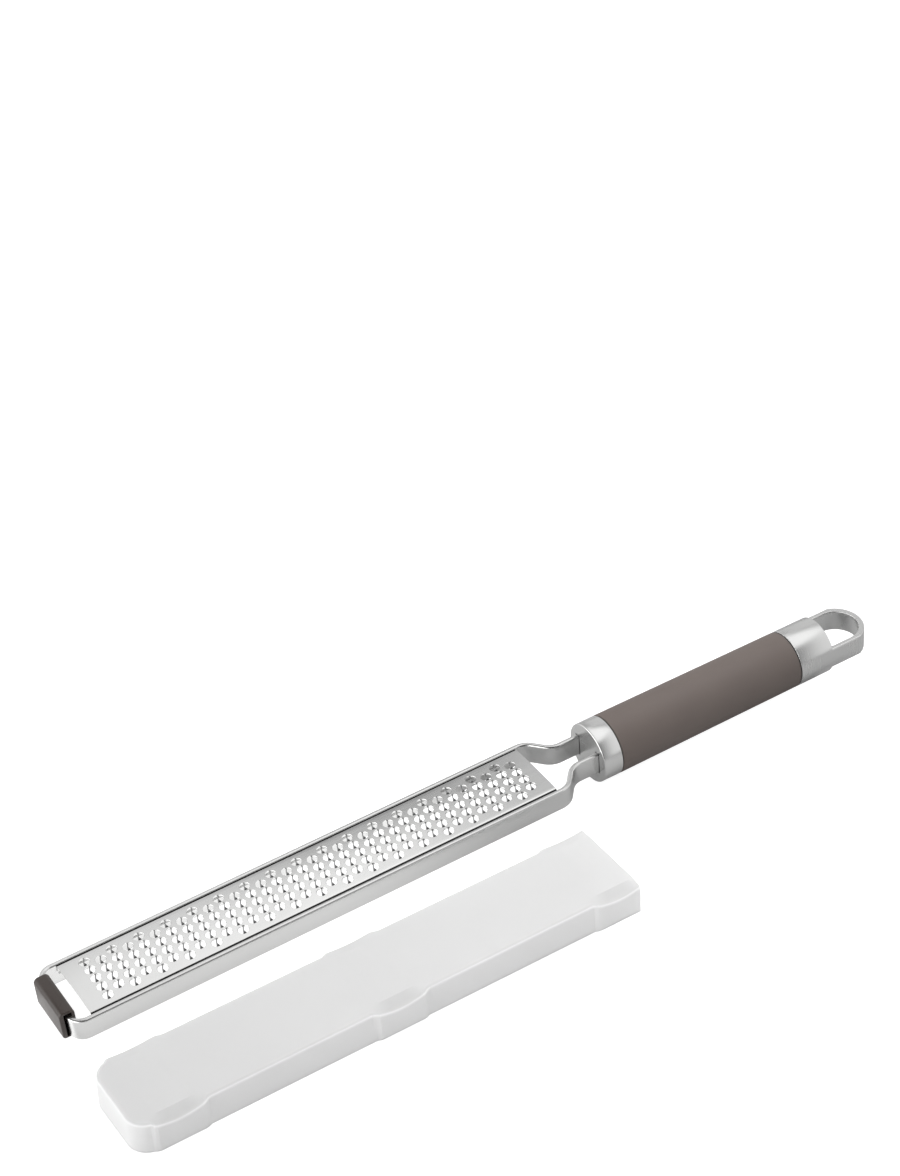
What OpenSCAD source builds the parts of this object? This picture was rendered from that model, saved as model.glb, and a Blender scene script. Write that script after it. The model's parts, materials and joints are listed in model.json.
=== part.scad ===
// Rasp zester on a round handle, with its clip-on blade guard lying beside it.
// Millimetres. The zester is drawn along its handle axis, then tilted so that it
// rests on the tip foot and on the front edge of the ferrule.

/* [Frame bar] */
// Height of the flat bar
bar_h = 10; // [8:0.5:12]
// Thickness of the flat bar
bar_t = 2.2; // [1.6:0.1:3]
// Outside width of the frame
frame_w = 36; // [34:1:50]
// Outside radius of the two tip corners
tip_r = 6.5; // [5:0.1:10]
// Radius of the bends of the arms, at mid thickness
bend_r = 8; // [6:0.5:9]
// Angle of the sloping stretch of the arms
bend_angle = 50; // [40:1:60]
// Distance from the handle core's surface in to the middle of each arm
arm_inset = 3.2; // [2.8:0.1:3.6]
// Length of the arms hidden behind the ferrule's front face
tang_len = 37; // [30:1:45]

/* [Grater plate] */
// Length of the plate
plate_len = 212; // [120:1:260]
// Clear gap between the tip bar and the plate
tip_gap = 6.6; // [5:0.2:14]
// Thickness of the sheet
sheet_t = 0.7; // [0.5:0.1:1]
// Depth of the folded edges
flange_h = 4.2; // [4:0.1:8]
// Outside radius of the folds
fold_r = 1.2; // [1:0.1:1.4]
// Outside radius of the curls that turn the folded edges in
curl_r = 2.5; // [1:0.1:2.6]
// Straight bar left behind the plate, before the arms bend
plate_after = 1; // [0.5:0.5:4]
// How far the plate stands above the bars
plate_rise = 0.2; // [0:0.1:0.6]
// Clearance between the plate and each bar
plate_fit = 0.1; // [0.05:0.05:0.4]

/* [Cutting holes] */
// Diameter of a hole
hole_d = 4.4; // [3:0.1:4.8]
// Distance between the columns of holes
column_pitch = 5.9; // [5.4:0.1:8]
// Distance between the holes of a column
row_pitch = 5.3; // [5:0.1:5.8]
// Bare sheet before the middle of the first column
hole_start = 9.6; // [6:0.2:14]
// Least bare sheet after the middle of the last column
hole_end = 7.6; // [5:0.2:20]
// Height of a cutting arch above the sheet
tooth_h = 0.9; // [0.4:0.1:1.4]
// Thickness of a cutting arch
tooth_t = 0.5; // [0.3:0.05:0.7]
// Width of a cutting arch at its crown
tooth_w = 0.6; // [0.4:0.05:0.9]
// Sideways swing of the S of a cutting arch
tooth_swing = 0.42; // [0:0.02:0.6]
// How far the curve of an arch reaches past the hole's rim
tooth_past = 0.1; // [0.05:0.05:0.15]
// How far an arch's ends run into the sheet past the hole's rim
tooth_root = 0.25; // [0.2:0.05:0.3]
// How much wider each side of an arch gets where it meets the sheet
tooth_flare = 0.35; // [0:0.05:0.5]

/* [Tip foot] */
// Length of the foot across the tip
foot_len = 23.6; // [16:0.2:26]
// Width of the foot along the zester
foot_w = 6.6; // [5.8:0.1:9]
// Wall of the foot under the bar
foot_wall = 0.8; // [0.6:0.1:1.6]
// Height of the foot above the bar
foot_top = 2.4; // [1.6:0.1:3]
// Gap over the bar inside the foot
foot_gap = 1.1; // [0:0.1:1.2]
// Distance from the foot's front face to the tip bar
foot_front = 2.7; // [2:0.1:3.2]
// Gap in front of the bar inside the foot
foot_slack = 0.9; // [0.3:0.1:1.2]
// Rounding of the foot's two lower edges
foot_r = 1.3; // [0.4:0.1:2]
// Rounding of the foot's two upper edges
foot_top_r = 2.2; // [1:0.1:2.8]
// Rounding of the foot's upright edges
foot_end_r = 0.5; // [0.2:0.1:1]

/* [Handle] */
// Diameter of the ferrule
ferrule_d = 26.4; // [24:0.2:32]
// Length of the ferrule
ferrule_len = 9; // [7:0.5:14]
// Thickness of the ferrule's front wall
ferrule_front = 3; // [2:0.5:4]
// Bevel of the ferrule's front edge
ferrule_bevel = 0.5; // [0.2:0.1:1]
// Straight stretch of the arms before the ferrule
neck_len = 9; // [6:0.5:20]
// Length of the grip with its seals
grip_len = 93.6; // [80:0.2:130]
// How much the grip narrows on each side towards the end cap
grip_taper = 0.45; // [0:0.05:1]
// Wall of the grip at the end cap
grip_wall = 2.25; // [2:0.05:2.6]
// Bevel of the grip's two ends
grip_lip = 0.3; // [0.2:0.1:0.6]
// Clearance between the core and the bores of the ferrule and the end cap
core_fit = 0.2; // [0.1:0.05:0.3]
// Length of the round part of the end cap
cap_len = 17; // [14:0.5:24]
// Thickness of the seal rings
seal_t = 0.5; // [0.3:0.1:1]
// Depth of the seal grooves below the grip
seal_depth = 0.4; // [0.2:0.1:0.8]
// Gap on each side of an arm in the ferrule's slots
slot_gap_t = 0.3; // [0.2:0.1:0.5]
// Gap over and under an arm in the ferrule's slots
slot_gap_h = 0.4; // [0.2:0.1:0.6]
// Thickness of the end cap's floor
cap_back = 4; // [3:0.5:6]

/* [Hang loop] */
// Distance from the end cap's back face to the tip of the loop
loop_reach = 23; // [18:0.5:34]
// Height of the loop's strip
loop_h = 10; // [7:0.5:12]
// Thickness of the loop at its tip
loop_t = 2.4; // [1.6:0.1:3.4]
// Thickness of the loop at its sides
loop_side = 2.85; // [2:0.05:4]
// Rounding of the opening's corners at the cap
loop_root_r = 2; // [1:0.2:4]

/* [Fasteners] */
// Diameter of the tie bolt's shank
bolt_d = 5; // [4:0.5:5.5]
// Diameter of the tie bolt's head
bolt_head_d = 8.4; // [7.6:0.2:8.6]
// Length of the tie bolt's head
bolt_head_h = 5; // [3:0.5:6]
// Thickness of the washer
washer_t = 1; // [0.6:0.1:1.6]
// Diameter of the two pins through the arms
pin_d = 3.5; // [2.5:0.1:4.5]
// Distance between the two pins
pin_pitch = 12; // [8:0.5:14]
// Distance from the ferrule to the middle of the first pin
pin_start = 8; // [5:0.5:9]
// Stretch of core between the ends of the arms and the washer's seat
bolt_setback = 15; // [10:0.5:18]
// Depth of the end cap left behind the bolt's end
bolt_blind = 2; // [1.5:0.1:3]
// Wall of the boss that takes the bolt
boss_wall = 2; // [1.5:0.1:2.6]
// Length of the boss in front of the end cap's floor
boss_len = 8; // [4:0.5:11]

/* [Blade guard] */
// Clearance between the frame and each side of the guard, at the rim
guard_fit = 0.6; // [0.5:0.1:2]
// How far the guard stops short of the plate's end
guard_short = 1.4; // [0:0.2:6]
// Room over the foot inside the guard when it is clipped on
guard_room = 0.4; // [0.2:0.1:3]
// How far the guard's rim then stays above the foot's underside
guard_up = 0.6; // [0:0.1:2]
// Wall of the guard
guard_wall = 1; // [0.8:0.1:1.4]
// How far each side leans in from the rim to the top
guard_draft = 0.5; // [0.2:0.1:0.5]
// Radius of the closed end's corners
guard_corner_r = 9; // [6:0.5:12]
// Rounding of the top edges
guard_edge_r = 1.6; // [1.5:0.1:2.4]
// Length of the straight part of a clip bulge
bulge_len = 19; // [12:0.5:26]
// Length of the ramp at each end of a clip bulge
bulge_ramp = 2; // [1:0.1:4]
// How far a clip bulge stands out of the side, at its top
bulge_out = 1.3; // [0.6:0.1:1.8]
// How deep the scoop above a clip bulge reaches down at its outer side
scoop_drop = 2.5; // [1.5:0.1:4]
// How far the scoop above a clip bulge reaches in over the top
scoop_in = 4; // [2:0.1:6]
// Half length of the scoop above a clip bulge, at its outer side
scoop_half = 11.4; // [8:0.1:15]
// Distance from the closed end to the middle of the first bulge
bulge_first = 18.5; // [18:0.5:40]
// Distance from the open end to the middle of the last bulge
bulge_last = 9.5; // [6:0.5:40]
// How far the middle bulge lies towards the closed end
bulge_shift = 3; // [-10:0.5:10]
// Turn of the guard on the table
guard_turn = 1; // [0:0.5:3]
// Clear distance between the frame and the guard
guard_apart = 22.8; // [10:0.2:60]
// Distance from the line of the plate's end to the guard's open end
guard_behind = 3.4; // [-20:0.2:20]

/* [Hidden] */
$fn = 96;
slice = 0.05;
lap = 0.02;
fit = 0.05;
slip = 0.3;
over = 1;

// Places along the handle axis, from the middle of the foot
tip_x = -foot_w / 2 + foot_front;
plate_x = tip_x + bar_t + tip_gap;
bend_x = plate_x + plate_len + plate_after;
side_y = frame_w / 2 - bar_t / 2;
cap_r = ferrule_d / 2 - grip_taper;
core_r = cap_r - grip_wall;
arm_y = core_r - arm_inset;
slope_len = (side_y - arm_y - 2 * bend_r * (1 - cos(bend_angle))) / sin(bend_angle);
neck_x = bend_x + 2 * bend_r * sin(bend_angle) + slope_len * cos(bend_angle);
ferrule_x = neck_x + neck_len;
core_x = ferrule_x + ferrule_front;
grip_x = ferrule_x + ferrule_len;
grip_end = grip_x + grip_len;
cap_end = grip_end + cap_len;
loop_end = cap_end + loop_reach;
tang_end = ferrule_x + tang_len;

// Fits inside the handle
bore_r = core_r + core_fit;
loop_inner = cap_r - loop_side;
cap_floor = cap_end - cap_back;
core_end = cap_floor - slip;
boss_r = bolt_d / 2 + boss_wall;
boss_x = cap_floor - boss_len;
washer_x = tang_end + bolt_setback;
head_x = washer_x - washer_t - bolt_head_h;
bolt_end = cap_end - bolt_blind;
head_bore_r = bolt_head_d / 2 + slip;
pin_x = grip_x + pin_start;
pin_len = 2 * (core_r - slip);

// Rest pose: the foot and the front edge of the ferrule touch the table
foot_half = bar_h / 2 + foot_wall;
rest_x = ferrule_x + ferrule_bevel;
tilt = atan((ferrule_d / 2 - foot_half) / rest_x);

// Guard on the table, beside the plate
guard_len = foot_w / 2 + plate_x + plate_len + guard_wall + slip - guard_short;
guard_w = frame_w + 2 * (guard_wall + guard_fit);
guard_h = bar_h + foot_wall + foot_top - guard_up + guard_room + guard_wall;
guard_mid_x = plate_x + plate_len - guard_behind - guard_len / 2;
guard_mid_y = -frame_w / 2 - guard_apart - guard_w / 2;
guard_side = guard_w / 2 - guard_draft;
scoop_r = (scoop_half * scoop_half + scoop_drop * scoop_drop) / (2 * scoop_drop);
scoop_slope = atan(scoop_drop / (scoop_in + bulge_out));
first_bulge_x = bulge_first - guard_len / 2;
last_bulge_x = guard_len / 2 - bulge_last;
bulge_x = [first_bulge_x, (first_bulge_x + last_bulge_x) / 2 - bulge_shift, last_bulge_x];

// Cutting pattern
tooth_reach = hole_d / 2 + tooth_past;
tooth_out_r = (tooth_reach * tooth_reach + tooth_h * tooth_h) / (2 * tooth_h);
plate_top = bar_h / 2 + plate_rise;
columns = 1 + floor((plate_len - hole_start - hole_end) / column_pitch);
pattern_len = hole_start + (columns - 1) * column_pitch + hole_d;

// Puts a piece drawn on the handle axis where it lies on the table
module at_rest() {
    rotate([0, -tilt, 0]) translate([0, 0, foot_half]) children();
}

// A straight tube or bar turned about the handle axis, from a half section
module turned(points) {
    rotate([0, 90, 0]) rotate_extrude() polygon(points);
}

module rod(x0, x1, r) {
    translate([x0, 0, 0]) rotate([0, 90, 0]) cylinder(h = x1 - x0, r = r);
}

// One bend of the bar, seen from above
module bend(centre, radius, from, to) {
    reach = 2 * radius;
    steps = 4;
    wedge = [for (i = [0 : steps]) let (a = from + (to - from) * i / steps)
             [reach * cos(a), reach * sin(a)]];
    translate(centre) intersection() {
        difference() {
            circle(r = radius + bar_t / 2);
            circle(r = radius - bar_t / 2);
        }
        polygon(concat([[0, 0]], wedge));
    }
}

// A straight stretch of the bar that laps a hair into its neighbours
module straight(start, angle, length) {
    translate(start) rotate(angle) translate([-lap, -bar_t / 2]) square([length + 2 * lap, bar_t]);
}

// The far half of the frame, seen from above
module bar_half() {
    corner_y = frame_w / 2 - tip_r;
    corner_x = tip_x + tip_r;
    slope_start = [bend_x + bend_r * sin(bend_angle), side_y - bend_r * (1 - cos(bend_angle))];
    straight([tip_x + bar_t / 2, 0], 90, corner_y);
    bend([corner_x, corner_y], tip_r - bar_t / 2, 90, 180);
    straight([corner_x, side_y], 0, bend_x - corner_x);
    bend([bend_x, side_y - bend_r], bend_r, 90 - bend_angle, 90);
    straight(slope_start, -bend_angle, slope_len);
    bend([neck_x, arm_y + bend_r], bend_r, 270 - bend_angle, 270);
    straight([neck_x, arm_y], 0, tang_end - neck_x);
}

module pins(r, length) {
    for (i = [0, 1]) translate([pin_x + i * pin_pitch, -length / 2, 0])
        rotate([-90, 0, 0]) cylinder(h = length, r = r);
}

module frame_bar() {
    color("silver") at_rest() difference() {
        translate([0, 0, -bar_h / 2]) linear_extrude(bar_h) {
            bar_half();
            mirror([0, 1]) bar_half();
        }
        pins(pin_d / 2 + fit, frame_w);
    }
}

// Outline of the sheet's channel, drawn in by skin, with its folds and curls
module channel(half, skin) {
    fold = fold_r - skin;
    curl = curl_r - skin;
    for (s = [-1, 1]) {
        translate([s * (half - fold_r), -fold_r]) circle(r = fold);
        translate([s * (half - curl_r), curl_r - flange_h]) circle(r = curl);
    }
    translate([-half + fold_r, -fold_r]) square([2 * (half - fold_r), fold]);
    translate([-half + skin, curl_r - flange_h]) square([2 * (half - skin), flange_h - curl_r - fold_r]);
    translate([-half + curl_r, skin - flange_h]) square([2 * (half - curl_r), flange_h - skin - fold_r]);
}

// Cross section of the sheet: flat on top, folded down and curled in at both sides
module sheet_section() {
    half = frame_w / 2 - bar_t - plate_fit;
    difference() {
        channel(half, 0);
        channel(half, sheet_t);
        translate([-half + curl_r, -flange_h - over]) square([2 * (half - curl_r), sheet_t + 2 * over]);
    }
}

// Middles of the holes in the columns of five (odd = 0) or of four (odd = 1)
function column_rows(odd) = odd == 0 ? [-2, -1, 0, 1, 2] : [-1.5, -0.5, 0.5, 1.5];

module at_holes(odd) {
    for (c = [odd : 2 : columns - 1]) for (r = column_rows(odd))
        translate([plate_x + hole_start + c * column_pitch, r * row_pitch]) children();
}

// The S of one cutting arch, seen from above
module tooth_outline() {
    steps = 4;
    reach = hole_d / 2 + tooth_root;
    function mid(u) = tooth_swing * sin(180 * u);
    function half(u) = tooth_w / 2 + tooth_flare * pow(abs(u), 3);
    us = [for (i = [0 : steps]) -1 + 2 * i / steps];
    left = [for (u = us) [mid(u) - half(u), reach * u]];
    right = [for (i = [steps : -1 : 0]) [mid(us[i]) + half(us[i]), reach * us[i]]];
    polygon(concat(left, right));
}

// Curved bands along the plate that give the arches their height
module tooth_bands(odd) {
    translate([plate_x, 0, plate_top + tooth_h - tooth_out_r]) rotate([90, 0, 90])
        linear_extrude(pattern_len) for (r = column_rows(odd)) translate([r * row_pitch, 0])
            difference() {
                circle(r = tooth_out_r);
                circle(r = tooth_out_r - tooth_t);
            }
}

module teeth(odd) {
    intersection() {
        translate([0, 0, plate_top - sheet_t]) linear_extrude(sheet_t + tooth_h + over)
            at_holes(odd) tooth_outline();
        tooth_bands(odd);
    }
}

module grater_plate() {
    color("gainsboro") at_rest() {
        difference() {
            translate([plate_x, 0, plate_top]) rotate([90, 0, 90]) linear_extrude(plate_len) sheet_section();
            translate([0, 0, plate_top - 2 * sheet_t]) linear_extrude(3 * sheet_t) {
                at_holes(0) circle(d = hole_d);
                at_holes(1) circle(d = hole_d);
            }
        }
        teeth(0);
        teeth(1);
    }
}

module rounded_box_section(w, h, r) {
    square([w, h - 2 * r], center = true);
    square([w - 2 * r, h], center = true);
    for (sx = [-1, 1]) for (sy = [-1, 1])
        translate([sx * (w / 2 - r), sy * (h / 2 - r)]) circle(r = r);
}

// How far the bar's inner face has curved back at the ends of the foot
function foot_bow() =
    let (past = max(0, foot_len / 2 - (frame_w / 2 - tip_r)), r = tip_r - bar_t)
    r - sqrt(r * r - past * past);

// Cross section of the foot along the zester, with its rounded top
module foot_section(low, top) {
    half = foot_w / 2;
    for (s = [-1, 1]) {
        translate([s * (half - foot_r), low + foot_r]) circle(r = foot_r);
        translate([s * (half - foot_top_r), top - foot_top_r]) circle(r = foot_top_r);
    }
    translate([foot_r - half, low]) square([foot_w - 2 * foot_r, foot_r]);
    translate([-half, low + foot_r]) square([foot_w, top - low - foot_r - foot_top_r]);
    translate([foot_top_r - half, top - foot_top_r]) square([foot_w - 2 * foot_top_r, foot_top_r]);
}

module tip_foot() {
    cut = foot_w;
    spare = 0.1;
    slot_end = tip_x + bar_t + foot_bow() + slip;
    color("dimgray") difference() {
        at_rest() difference() {
            intersection() {
                translate([0, foot_len / 2, 0]) rotate([90, 0, 0])
                    linear_extrude(foot_len) foot_section(-foot_half - spare, bar_h / 2 + foot_top);
                translate([0, 0, -bar_h]) linear_extrude(2 * bar_h)
                    rounded_box_section(foot_w, foot_len, foot_end_r);
            }
            translate([tip_x - foot_slack, -frame_w / 2, -bar_h / 2 - fit])
                cube([slot_end - tip_x + foot_slack, frame_w, bar_h + fit + foot_gap]);
        }
        translate([-cut, -frame_w / 2, -cut]) cube([2 * cut, frame_w, cut]);
    }
}

module front_ferrule() {
    r = ferrule_d / 2;
    color("silver") at_rest() difference() {
        turned([[0, ferrule_x], [r - ferrule_bevel, ferrule_x], [r, ferrule_x + ferrule_bevel],
                [r, grip_x], [bore_r, grip_x], [bore_r, core_x], [0, core_x]]);
        for (s = [-1, 1])
            translate([ferrule_x - over, s * arm_y - bar_t / 2 - slot_gap_t, -bar_h / 2 - slot_gap_h])
                cube([ferrule_front + 2 * over, bar_t + 2 * slot_gap_t, bar_h + 2 * slot_gap_h]);
    }
}

// A ring that seals one end of the grip
module seal(x, outer_r) {
    difference() {
        rod(x, x + seal_t, outer_r - seal_depth);
        rod(x - over, x + seal_t + over, core_r + fit);
    }
}

module front_seal() {
    color("black") at_rest() seal(grip_x, ferrule_d / 2);
}

module rear_seal() {
    color("black") at_rest() seal(grip_end - seal_t, cap_r);
}

module grip_sleeve() {
    x0 = grip_x + seal_t;
    x1 = grip_end - seal_t;
    color("#6e645f") at_rest() turned([[core_r + fit, x0], [ferrule_d / 2 - grip_lip, x0],
        [ferrule_d / 2, x0 + grip_lip], [cap_r, x1 - grip_lip], [cap_r - grip_lip, x1],
        [core_r + fit, x1]]);
}

module handle_core() {
    color("dimgray") at_rest() difference() {
        rod(core_x + fit, core_end, core_r);
        rod(core_x, washer_x, head_bore_r);
        rod(core_x, cap_end, bolt_d / 2 + fit);
        rod(boss_x - slip, cap_end, boss_r + fit);
        for (s = [-1, 1])
            translate([core_x, s * arm_y - bar_t / 2 - fit, -bar_h / 2 - fit])
                cube([tang_end + slip - core_x, bar_t + 2 * fit, bar_h + 2 * fit]);
        pins(pin_d / 2 + fit, 4 * core_r);
    }
}

module tie_bolt() {
    color("silver") at_rest() {
        rod(head_x, head_x + bolt_head_h, bolt_head_d / 2);
        rod(head_x + bolt_head_h / 2, bolt_end, bolt_d / 2);
    }
}

module bolt_washer() {
    color("silver") at_rest() difference() {
        rod(washer_x - washer_t, washer_x, bolt_head_d / 2);
        rod(washer_x - 2 * washer_t, washer_x + over, bolt_d / 2 + fit);
    }
}

module tang_pins() {
    color("silver") at_rest() pins(pin_d / 2, pin_len);
}

// The loop seen from above: a strip round the end, with an opening behind the cap
module loop_outline() {
    difference() {
        union() {
            translate([grip_end, -cap_r]) square([loop_end - cap_r - grip_end, 2 * cap_r]);
            translate([loop_end - cap_r, 0]) circle(r = cap_r);
        }
        translate([cap_end + loop_root_r, -loop_inner])
            square([loop_end - loop_t - loop_inner - cap_end - loop_root_r, 2 * loop_inner]);
        translate([cap_end, -loop_inner + loop_root_r])
            square([loop_root_r + over, 2 * (loop_inner - loop_root_r)]);
        for (s = [-1, 1]) translate([cap_end + loop_root_r, s * (loop_inner - loop_root_r)])
            circle(r = loop_root_r);
        translate([loop_end - loop_t - loop_inner, 0]) circle(r = loop_inner);
    }
}

module end_cap() {
    color("silver") at_rest() difference() {
        union() {
            rod(grip_end, cap_end, cap_r);
            intersection() {
                rod(cap_end - over, loop_end + over, cap_r);
                translate([0, 0, -loop_h / 2]) linear_extrude(loop_h) loop_outline();
            }
        }
        difference() {
            rod(grip_end - over, cap_floor, bore_r);
            rod(boss_x, cap_end, boss_r);
        }
        rod(grip_end - over, bolt_end, bolt_d / 2);
    }
}

// One level of the guard's outline, drawn in from the rim by inset
module guard_level(inset, z, extra) {
    r = guard_corner_r - inset;
    post = 1;
    translate([0, 0, z]) for (s = [-1, 1]) {
        translate([-guard_len / 2 + guard_corner_r, s * (guard_w / 2 - guard_corner_r)])
            cylinder(h = slice, r = r, $fn = 48);
        translate([guard_len / 2 - post, s * (guard_w / 2 - inset - post / 2) - post / 2, 0])
            cube([post + extra, post, slice]);
    }
}

// The guard's form as a solid, drawn in by skin and topped at height
module guard_form(skin, height, low, extra) {
    r = guard_edge_r - skin;
    lean = guard_draft;
    hull() {
        guard_level(skin, low, extra);
        for (a = [0, 30, 60, 90])
            guard_level(skin + lean + r * (1 - cos(a)), height - r + r * sin(a) - slice, extra);
    }
}

// Puts a copy at each clip bulge, on both sides, with +Y outwards
module at_bulges() {
    for (side = [0, 1]) mirror([0, side, 0])
        for (x = bulge_x) translate([x, guard_side, 0]) children();
}

// One clip bulge up to the guard's full height, drawn in by skin
module bulge(skin, low) {
    half = (bulge_len - skin) / 2;
    out = bulge_out - skin;
    translate([0, 0, low]) linear_extrude(guard_h - skin - low)
        polygon([[-half - 2 * bulge_ramp, out - 2 * bulge_out], [-half, out],
                 [half, out], [half + 2 * bulge_ramp, out - 2 * bulge_out]]);
}

// The round scoop that slopes down from the top over a clip bulge
module scoop(skin) {
    reach = 2 * (scoop_in + bulge_out);
    translate([0, bulge_out, guard_h - scoop_drop]) rotate([-scoop_slope, 0, 0])
        translate([0, -reach, scoop_r]) rotate([-90, 0, 0])
            cylinder(h = 2 * reach, r = scoop_r + skin);
}

// The guard filled in, drawn in by skin and running past the open end by extra
module guard_block(skin, low, extra) {
    difference() {
        union() {
            guard_form(skin, guard_h - skin, low, extra);
            intersection() {
                at_bulges() bulge(skin, low);
                translate([-guard_len / 2, -guard_w, low]) cube([guard_len + extra, 2 * guard_w, guard_h]);
            }
        }
        at_bulges() scoop(skin);
    }
}

module blade_guard() {
    color("white") translate([guard_mid_x, guard_mid_y, 0]) rotate([0, 0, guard_turn])
        difference() {
            guard_block(0, 0, 0);
            guard_block(guard_wall, -slice, over);
        }
}

frame_bar();
grater_plate();
tip_foot();
front_ferrule();
front_seal();
handle_core();
grip_sleeve();
rear_seal();
tie_bolt();
bolt_washer();
tang_pins();
end_cap();
blade_guard();
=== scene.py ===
import json
import math

import bmesh
import bpy
from mathutils import Matrix, Vector


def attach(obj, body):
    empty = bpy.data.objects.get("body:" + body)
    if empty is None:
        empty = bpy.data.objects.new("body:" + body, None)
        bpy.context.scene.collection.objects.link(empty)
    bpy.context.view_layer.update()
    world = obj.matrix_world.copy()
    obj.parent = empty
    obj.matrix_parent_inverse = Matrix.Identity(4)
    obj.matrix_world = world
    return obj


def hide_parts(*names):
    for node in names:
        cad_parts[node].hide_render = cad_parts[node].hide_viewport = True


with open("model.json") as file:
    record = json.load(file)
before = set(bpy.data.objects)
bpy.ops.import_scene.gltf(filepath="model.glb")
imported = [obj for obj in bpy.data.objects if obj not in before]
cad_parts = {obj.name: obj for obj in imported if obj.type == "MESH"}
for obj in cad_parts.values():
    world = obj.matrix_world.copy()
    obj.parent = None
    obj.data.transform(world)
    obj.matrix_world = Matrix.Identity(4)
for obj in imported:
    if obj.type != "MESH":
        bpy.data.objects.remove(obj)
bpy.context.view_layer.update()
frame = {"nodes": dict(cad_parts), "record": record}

MM = 0.001

# The zester's own frame: millimetres along the handle axis, from the middle of the foot.
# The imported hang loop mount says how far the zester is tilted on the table.
MOUNTS = {m["name"]: m for m in frame["record"]["mounts"]}
LOOP_AXIS = MOUNTS["hang_loop"]["axis"]
TILT = math.atan2(-LOOP_AXIS[0], LOOP_AXIS[2])

# Frame bar
BAR_H = 10.0
BAR_T = 2.2
FRAME_W = 36.0
TIP_R = 6.5
BEND_R = 8.0
BEND_ANGLE = 50.0
TANG_LEN = 37.0
BAR_EDGE_R = 0.8
BAR_SLACK = 0.05

# Tip foot
FOOT_LEN = 23.6
FOOT_W = 6.6
FOOT_WALL = 0.8
FOOT_TOP = 2.4
FOOT_GAP = 1.1
FOOT_FRONT = 2.7
FOOT_SLACK = 0.9
FOOT_R = 1.3
FOOT_TOP_R = 2.2
FOOT_END_R = 0.5
FOOT_HALF = BAR_H / 2 + FOOT_WALL

# Grater plate
PLATE_LEN = 212.0
TIP_GAP = 6.6
SHEET_T = 0.7
FLANGE_H = 4.2
FOLD_R = 1.2
# Round each fold, the outer side up to this angle from the side carries painted shade.
FOLD_PAINTED_SHADE_FROM = 65
CURL_R = 1.4
CROWN = 0.4
PLATE_RISE = 0.2
PLATE_FIT = 0.2
PLATE_STRIPS = 24

# Cutting holes
HOLE_D = 4.4
HOLE_SOFT = 0.12
HOLE_SIDES = 40
COLUMN_PITCH = 5.9
ROW_PITCH = 5.3
HOLE_START = 9.6
HOLE_END = 7.6

# Cutting arches. Places along an arch run from -1 at its near root to 1 at its far root.
TOOTH_H = 0.95
TOOTH_T = 0.4
TOOTH_W = 0.42
TOOTH_PAST = 0.1
TOOTH_SUNK = 0.05
TOOTH_SOFT = 0.08
TOOTH_STEPS = 20
TOOTH_POWER = 2.4
TOOTH_SWING = 0.36
TOOTH_LEAN = 0.25
TOOTH_HOOK = 0.5
TOOTH_HOOK_FROM = 0.4
TOOTH_ROOT = 0.42
TOOTH_ROOT_FAR = 0.1
TOOTH_ROOT_FROM = 0.4
TOOTH_ROOT_RUN = 0.5
TOOTH_WEB_FROM = 0.3
TOOTH_WEB_RUN = 0.2
# Place along each arch where its painted shade ends and plain plate steel begins.
TOOTH_PAINTED_SHADE_TO = 0.6

# Handle
FERRULE_D = 26.4
FERRULE_LEN = 9.0
FERRULE_FRONT = 3.0
NECK_LEN = 9.0
GRIP_LEN = 93.6
GRIP_TAPER = 0.45
GRIP_WALL = 2.25
GRIP_LIP = 0.35
GRIP_FIT = 0.05
ARM_INSET = 3.2
CORE_FIT = 0.2
FERRULE_EDGE = 0.5
FERRULE_BACK_EDGE = 0.2
CAP_LEN = 17.0
CAP_BACK = 4.0
CAP_FRONT_EDGE = 0.2
CAP_BACK_EDGE = 0.4
SEAL_T = 0.5
SLOT_GAP = 0.3

# Hang loop
LOOP_REACH = 23.0
LOOP_H = 10.0
LOOP_T = 2.4
LOOP_SIDE = 2.85
LOOP_ROOT_R = 2.0
LOOP_EDGE_R = 0.35
LOOP_SUNK = 0.6

# Blade guard
GUARD_FIT = 0.6
GUARD_SHORT = 1.4
GUARD_ROOM = 0.4
GUARD_UP = 0.6
GUARD_WALL = 1.0
GUARD_DRAFT = 0.5
GUARD_CORNER_R = 9.0
GUARD_EDGE_R = 1.5
GUARD_TURN = 1.0
GUARD_APART = 22.8
GUARD_BEHIND = 3.4
BULGE_LEN = 19.0
BULGE_RAMP = 3.5
BULGE_OUT = 1.3
BULGE_FIRST = 18.5
BULGE_LAST = 9.5
BULGE_SHIFT = 3.0
SCOOP_DROP = 2.5
SCOOP_DROP_FAR = 1.3
SCOOP_IN = 4.0
SCOOP_HALF = 11.4
GUARD_SHARP = 12
GUARD_STEPS = 150
GUARD_CORNER_STEPS = 12

# Places along the handle axis
SLIP = 0.3
TIP_X = -FOOT_W / 2 + FOOT_FRONT
PLATE_X = TIP_X + BAR_T + TIP_GAP
BEND_X = PLATE_X + PLATE_LEN + 1
SIDE_Y = FRAME_W / 2 - BAR_T / 2
PLATE_ROOM = FRAME_W / 2 - BAR_T
PLATE_HALF = PLATE_ROOM - PLATE_FIT
CAP_R = FERRULE_D / 2 - GRIP_TAPER
CORE_R = CAP_R - GRIP_WALL
ARM_Y = CORE_R - ARM_INSET
BEND_COS = math.cos(math.radians(BEND_ANGLE))
BEND_SIN = math.sin(math.radians(BEND_ANGLE))
SLOPE_LEN = (SIDE_Y - ARM_Y - 2 * BEND_R * (1 - BEND_COS)) / BEND_SIN
NECK_X = BEND_X + 2 * BEND_R * BEND_SIN + SLOPE_LEN * BEND_COS
FERRULE_X = NECK_X + NECK_LEN
GRIP_X = FERRULE_X + FERRULE_LEN
GRIP_END = GRIP_X + GRIP_LEN
CAP_END = GRIP_END + CAP_LEN
LOOP_END = CAP_END + LOOP_REACH
PLATE_TOP = BAR_H / 2 + PLATE_RISE
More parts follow.
